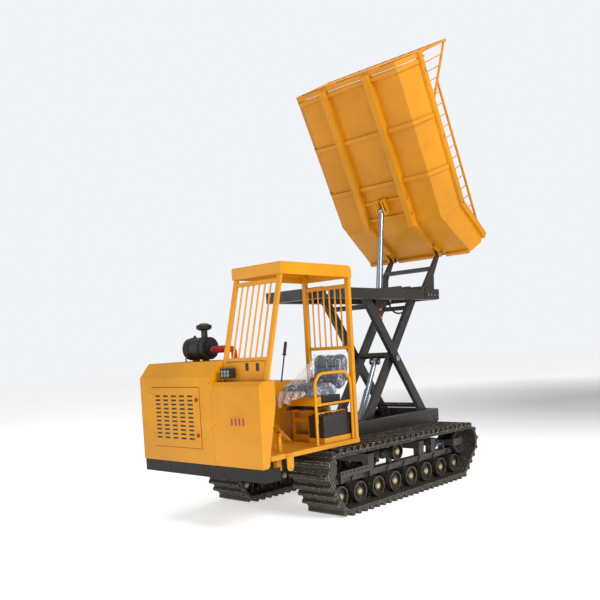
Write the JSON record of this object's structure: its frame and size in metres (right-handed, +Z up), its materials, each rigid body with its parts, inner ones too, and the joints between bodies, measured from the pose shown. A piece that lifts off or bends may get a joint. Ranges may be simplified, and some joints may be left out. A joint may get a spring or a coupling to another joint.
{
  "type": "tracked dumper",
  "caption": "Ride-on tracked dumper: hooded engine and operator cab on a crawler chassis, scissor high lift carrying a sloped-side tipping bed with ramp tail and slatted racks.",
  "frame": {"origin": "on the ground, midway between the tracks and midway along their ground contact", "axes": "+Z up; the machine drives toward -Y; +X is its left side, where the operator sits"},
  "size_m": [1.708, 3.8585, 4.8486],
  "materials": {
    "paint": "satin",
    "frame": "satin",
    "rubber": "matte",
    "steel": "satin",
    "black": "matte",
    "skirt": "satin",
    "maroon": "satin",
    "engine": "matte",
    "seat": "satin",
    "red": "gloss",
    "battery": "matte"
  },
  "bodies": {
    "chassis": {"left_track_frame": "frame", "right_track_frame": "frame", "left_belt": "rubber", "right_belt": "rubber", "chassis_frame": "frame", "lift_base": "frame", "front_skirt": "skirt", "engine": "engine", "engine_hood": "paint", "rear_cover": "paint", "console": "paint", "work_lamp": "black", "air_cleaner": "black", "platform": "paint", "cab_frame": "paint", "cab_roof": "paint", "arm_rail": "paint", "seat_stand": "paint", "battery": "battery"},
    "seat": {"seat_base": "black", "seat_cushion": "seat", "seat_back": "seat"},
    "hood_door": {"hood_door": "paint"},
    "upper_latch": {"upper_latch": "red"},
    "lower_latch": {"lower_latch": "red"},
    "foot_pedal": {"foot_pedal": "paint"},
    "shift_lever": {"shift_lever": "black"},
    "outer_arms": {"outer_arms": "frame"},
    "inner_arms": {"inner_arms": "frame"},
    "top_frame": {"top_frame": "frame"},
    "tip_barrel": {"tip_barrel": "maroon"},
    "tip_stage_1": {"tip_stage_1": "steel"},
    "tip_stage_2": {"tip_stage_2": "steel"},
    "tip_stage_3": {"tip_stage_3": "steel"},
    "lift_barrel": {"lift_barrel": "maroon"},
    "lift_stage_1": {"lift_stage_1": "steel"},
    "lift_stage_2": {"lift_stage_2": "steel"},
    "dump_bed": {"dump_bed": "paint"},
    "left_sprocket": {"left_sprocket": "frame"},
    "left_idler": {"left_idler": "frame"},
    "left_carrier": {"left_carrier": "frame"},
    "left_roller_1": {"left_roller_1": "frame"},
    "left_roller_2": {"left_roller_2": "frame"},
    "left_roller_3": {"left_roller_3": "frame"},
    "left_roller_4": {"left_roller_4": "frame"},
    "left_roller_5": {"left_roller_5": "frame"},
    "left_roller_6": {"left_roller_6": "frame"},
    "left_roller_7": {"left_roller_7": "frame"},
    "left_roller_8": {"left_roller_8": "frame"},
    "right_sprocket": {"right_sprocket": "frame"},
    "right_idler": {"right_idler": "frame"},
    "right_carrier": {"right_carrier": "frame"},
    "right_roller_1": {"right_roller_1": "frame"},
    "right_roller_2": {"right_roller_2": "frame"},
    "right_roller_3": {"right_roller_3": "frame"},
    "right_roller_4": {"right_roller_4": "frame"},
    "right_roller_5": {"right_roller_5": "frame"},
    "right_roller_6": {"right_roller_6": "frame"},
    "right_roller_7": {"right_roller_7": "frame"},
    "right_roller_8": {"right_roller_8": "frame"}
  },
  "joints": [
    {"name": "left_drive", "type": "hinge", "parent": "chassis", "child": "left_sprocket", "pos_m": [0.625, -1.15, 0.435], "axis": [1, 0, 0], "continuous": true},
    {"name": "left_idler_spin", "type": "hinge", "parent": "chassis", "child": "left_idler", "pos_m": [0.625, 1.18, 0.395], "axis": [1, 0, 0], "continuous": true},
    {"name": "left_carrier_spin", "type": "hinge", "parent": "chassis", "child": "left_carrier", "pos_m": [0.625, -0.08, 0.456], "axis": [1, 0, 0], "continuous": true},
    {"name": "left_roller_1_spin", "type": "hinge", "parent": "chassis", "child": "left_roller_1", "pos_m": [0.625, -1.015, 0.168], "axis": [1, 0, 0], "continuous": true},
    {"name": "left_roller_2_spin", "type": "hinge", "parent": "chassis", "child": "left_roller_2", "pos_m": [0.625, -0.725, 0.168], "axis": [1, 0, 0], "continuous": true},
    {"name": "left_roller_3_spin", "type": "hinge", "parent": "chassis", "child": "left_roller_3", "pos_m": [0.625, -0.435, 0.168], "axis": [1, 0, 0], "continuous": true},
    {"name": "left_roller_4_spin", "type": "hinge", "parent": "chassis", "child": "left_roller_4", "pos_m": [0.625, -0.145, 0.168], "axis": [1, 0, 0], "continuous": true},
    {"name": "left_roller_5_spin", "type": "hinge", "parent": "chassis", "child": "left_roller_5", "pos_m": [0.625, 0.145, 0.168], "axis": [1, 0, 0], "continuous": true},
    {"name": "left_roller_6_spin", "type": "hinge", "parent": "chassis", "child": "left_roller_6", "pos_m": [0.625, 0.435, 0.168], "axis": [1, 0, 0], "continuous": true},
    {"name": "left_roller_7_spin", "type": "hinge", "parent": "chassis", "child": "left_roller_7", "pos_m": [0.625, 0.725, 0.168], "axis": [1, 0, 0], "continuous": true},
    {"name": "left_roller_8_spin", "type": "hinge", "parent": "chassis", "child": "left_roller_8", "pos_m": [0.625, 1.015, 0.168], "axis": [1, 0, 0], "continuous": true},
    {"name": "right_drive", "type": "hinge", "parent": "chassis", "child": "right_sprocket", "pos_m": [-0.625, -1.15, 0.435], "axis": [1, 0, 0], "continuous": true},
    {"name": "right_idler_spin", "type": "hinge", "parent": "chassis", "child": "right_idler", "pos_m": [-0.625, 1.18, 0.395], "axis": [1, 0, 0], "continuous": true},
    {"name": "right_carrier_spin", "type": "hinge", "parent": "chassis", "child": "right_carrier", "pos_m": [-0.625, -0.08, 0.456], "axis": [1, 0, 0], "continuous": true},
    {"name": "right_roller_1_spin", "type": "hinge", "parent": "chassis", "child": "right_roller_1", "pos_m": [-0.625, -1.015, 0.168], "axis": [1, 0, 0], "continuous": true},
    {"name": "right_roller_2_spin", "type": "hinge", "parent": "chassis", "child": "right_roller_2", "pos_m": [-0.625, -0.725, 0.168], "axis": [1, 0, 0], "continuous": true},
    {"name": "right_roller_3_spin", "type": "hinge", "parent": "chassis", "child": "right_roller_3", "pos_m": [-0.625, -0.435, 0.168], "axis": [1, 0, 0], "continuous": true},
    {"name": "right_roller_4_spin", "type": "hinge", "parent": "chassis", "child": "right_roller_4", "pos_m": [-0.625, -0.145, 0.168], "axis": [1, 0, 0], "continuous": true},
    {"name": "right_roller_5_spin", "type": "hinge", "parent": "chassis", "child": "right_roller_5", "pos_m": [-0.625, 0.145, 0.168], "axis": [1, 0, 0], "continuous": true},
    {"name": "right_roller_6_spin", "type": "hinge", "parent": "chassis", "child": "right_roller_6", "pos_m": [-0.625, 0.435, 0.168], "axis": [1, 0, 0], "continuous": true},
    {"name": "right_roller_7_spin", "type": "hinge", "parent": "chassis", "child": "right_roller_7", "pos_m": [-0.625, 0.725, 0.168], "axis": [1, 0, 0], "continuous": true},
    {"name": "right_roller_8_spin", "type": "hinge", "parent": "chassis", "child": "right_roller_8", "pos_m": [-0.625, 1.015, 0.168], "axis": [1, 0, 0], "continuous": true},
    {"name": "lift", "type": "hinge", "parent": "chassis", "child": "outer_arms", "pos_m": [0, 1.18, 0.677], "axis": [1, 0, 0], "range_deg": [0, 46.3]},
    {"name": "lift_cross", "type": "hinge", "parent": "outer_arms", "child": "inner_arms", "pos_m": [0, 0.64644, 1.37994], "axis": [1, 0, 0], "range_deg": [-92.7, 0]},
    {"name": "lift_top", "type": "hinge", "parent": "inner_arms", "child": "top_frame", "pos_m": [0, 1.18, 2.08288], "axis": [1, 0, 0], "range_deg": [0, 46.4]},
    {"name": "lift_barrel_swing", "type": "hinge", "parent": "chassis", "child": "lift_barrel", "pos_m": [0, 0.2584, 0.65], "axis": [1, 0, 0], "range_deg": [0, 25]},
    {"name": "lift_stage_1_slide", "type": "slide", "parent": "lift_barrel", "child": "lift_stage_1", "axis": [0, 0.4733, 0.8809], "range_m": [-0.3455, 0]},
    {"name": "lift_stage_2_slide", "type": "slide", "parent": "lift_stage_1", "child": "lift_stage_2", "axis": [0, 0.4733, 0.8809], "range_m": [-0.3253, 0]},
    {"name": "tip", "type": "hinge", "parent": "top_frame", "child": "dump_bed", "pos_m": [0, 1.577, 2.57888], "axis": [1, 0, 0], "range_deg": [0, 62.9]},
    {"name": "tip_barrel_swing", "type": "hinge", "parent": "top_frame", "child": "tip_barrel", "pos_m": [0, 0.772, 2.01198], "axis": [1, 0, 0], "range_deg": [0, 18.4]},
    {"name": "tip_stage_1_slide", "type": "slide", "parent": "tip_barrel", "child": "tip_stage_1", "axis": [0, 0.1385, 0.9904], "range_m": [-0.2755, 0]},
    {"name": "tip_stage_2_slide", "type": "slide", "parent": "tip_stage_1", "child": "tip_stage_2", "axis": [0, 0.1385, 0.9904], "range_m": [-0.3185, 0]},
    {"name": "tip_stage_3_slide", "type": "slide", "parent": "tip_stage_2", "child": "tip_stage_3", "axis": [0, 0.1385, 0.9904], "range_m": [-0.27, 0]},
    {"name": "hood_door_swing", "type": "hinge", "parent": "chassis", "child": "hood_door", "pos_m": [-0.653, -2.037, 0.99], "axis": [0, 0, -1], "range_deg": [0, 105]},
    {"name": "upper_latch_turn", "type": "hinge", "parent": "hood_door", "child": "upper_latch", "pos_m": [-0.004, -2.032, 1.151], "axis": [0, 1, 0], "range_deg": [0, 90]},
    {"name": "lower_latch_turn", "type": "hinge", "parent": "hood_door", "child": "lower_latch", "pos_m": [-0.004, -2.032, 0.837], "axis": [0, 1, 0], "range_deg": [0, 90]},
    {"name": "pedal_press", "type": "hinge", "parent": "chassis", "child": "foot_pedal", "pos_m": [0.65, -1.694, 0.832], "axis": [1, 0, 0], "range_deg": [0, 15], "stiffness_Nm_per_rad": 20},
    {"name": "lever_shift", "type": "hinge", "parent": "chassis", "child": "shift_lever", "pos_m": [0.16, -1.122, 1.195], "axis": [1, 0, 0], "range_deg": [-14, 14], "stiffness_Nm_per_rad": 20},
    {"name": "seat_slide", "type": "slide", "parent": "chassis", "child": "seat", "axis": [0, -1, 0], "range_m": [0, 0.08]}
  ],
  "couplings": [
    {"joint": "left_idler_spin", "follows": "left_drive", "ratio": 0.89437},
    {"joint": "left_carrier_spin", "follows": "left_drive", "ratio": 1.4111},
    {"joint": "left_roller_1_spin", "follows": "left_drive", "ratio": 1.27},
    {"joint": "left_roller_2_spin", "follows": "left_drive", "ratio": 1.27},
    {"joint": "left_roller_3_spin", "follows": "left_drive", "ratio": 1.27},
    {"joint": "left_roller_4_spin", "follows": "left_drive", "ratio": 1.27},
    {"joint": "left_roller_5_spin", "follows": "left_drive", "ratio": 1.27},
    {"joint": "left_roller_6_spin", "follows": "left_drive", "ratio": 1.27},
    {"joint": "left_roller_7_spin", "follows": "left_drive", "ratio": 1.27},
    {"joint": "left_roller_8_spin", "follows": "left_drive", "ratio": 1.27},
    {"joint": "right_idler_spin", "follows": "right_drive", "ratio": 0.89437},
    {"joint": "right_carrier_spin", "follows": "right_drive", "ratio": 1.4111},
    {"joint": "right_roller_1_spin", "follows": "right_drive", "ratio": 1.27},
    {"joint": "right_roller_2_spin", "follows": "right_drive", "ratio": 1.27},
    {"joint": "right_roller_3_spin", "follows": "right_drive", "ratio": 1.27},
    {"joint": "right_roller_4_spin", "follows": "right_drive", "ratio": 1.27},
    {"joint": "right_roller_5_spin", "follows": "right_drive", "ratio": 1.27},
    {"joint": "right_roller_6_spin", "follows": "right_drive", "ratio": 1.27},
    {"joint": "right_roller_7_spin", "follows": "right_drive", "ratio": 1.27},
    {"joint": "right_roller_8_spin", "follows": "right_drive", "ratio": 1.27},
    {"joint": "lift_cross", "follows": "lift", "ratio": -2},
    {"joint": "lift_top", "follows": "lift", "ratio": 1},
    {"joint": "lift_barrel_swing", "follows": "lift", "ratio": 0.536},
    {"joint": "lift_stage_1_slide", "follows": "lift", "m_per_rad": -0.42693},
    {"joint": "lift_stage_2_slide", "follows": "lift", "m_per_rad": -0.40196},
    {"joint": "tip_barrel_swing", "follows": "tip", "ratio": 0.29},
    {"joint": "tip_stage_1_slide", "follows": "tip", "m_per_rad": -0.2505},
    {"joint": "tip_stage_2_slide", "follows": "tip", "m_per_rad": -0.28967},
    {"joint": "tip_stage_3_slide", "follows": "tip", "m_per_rad": -0.24553}
  ]
}
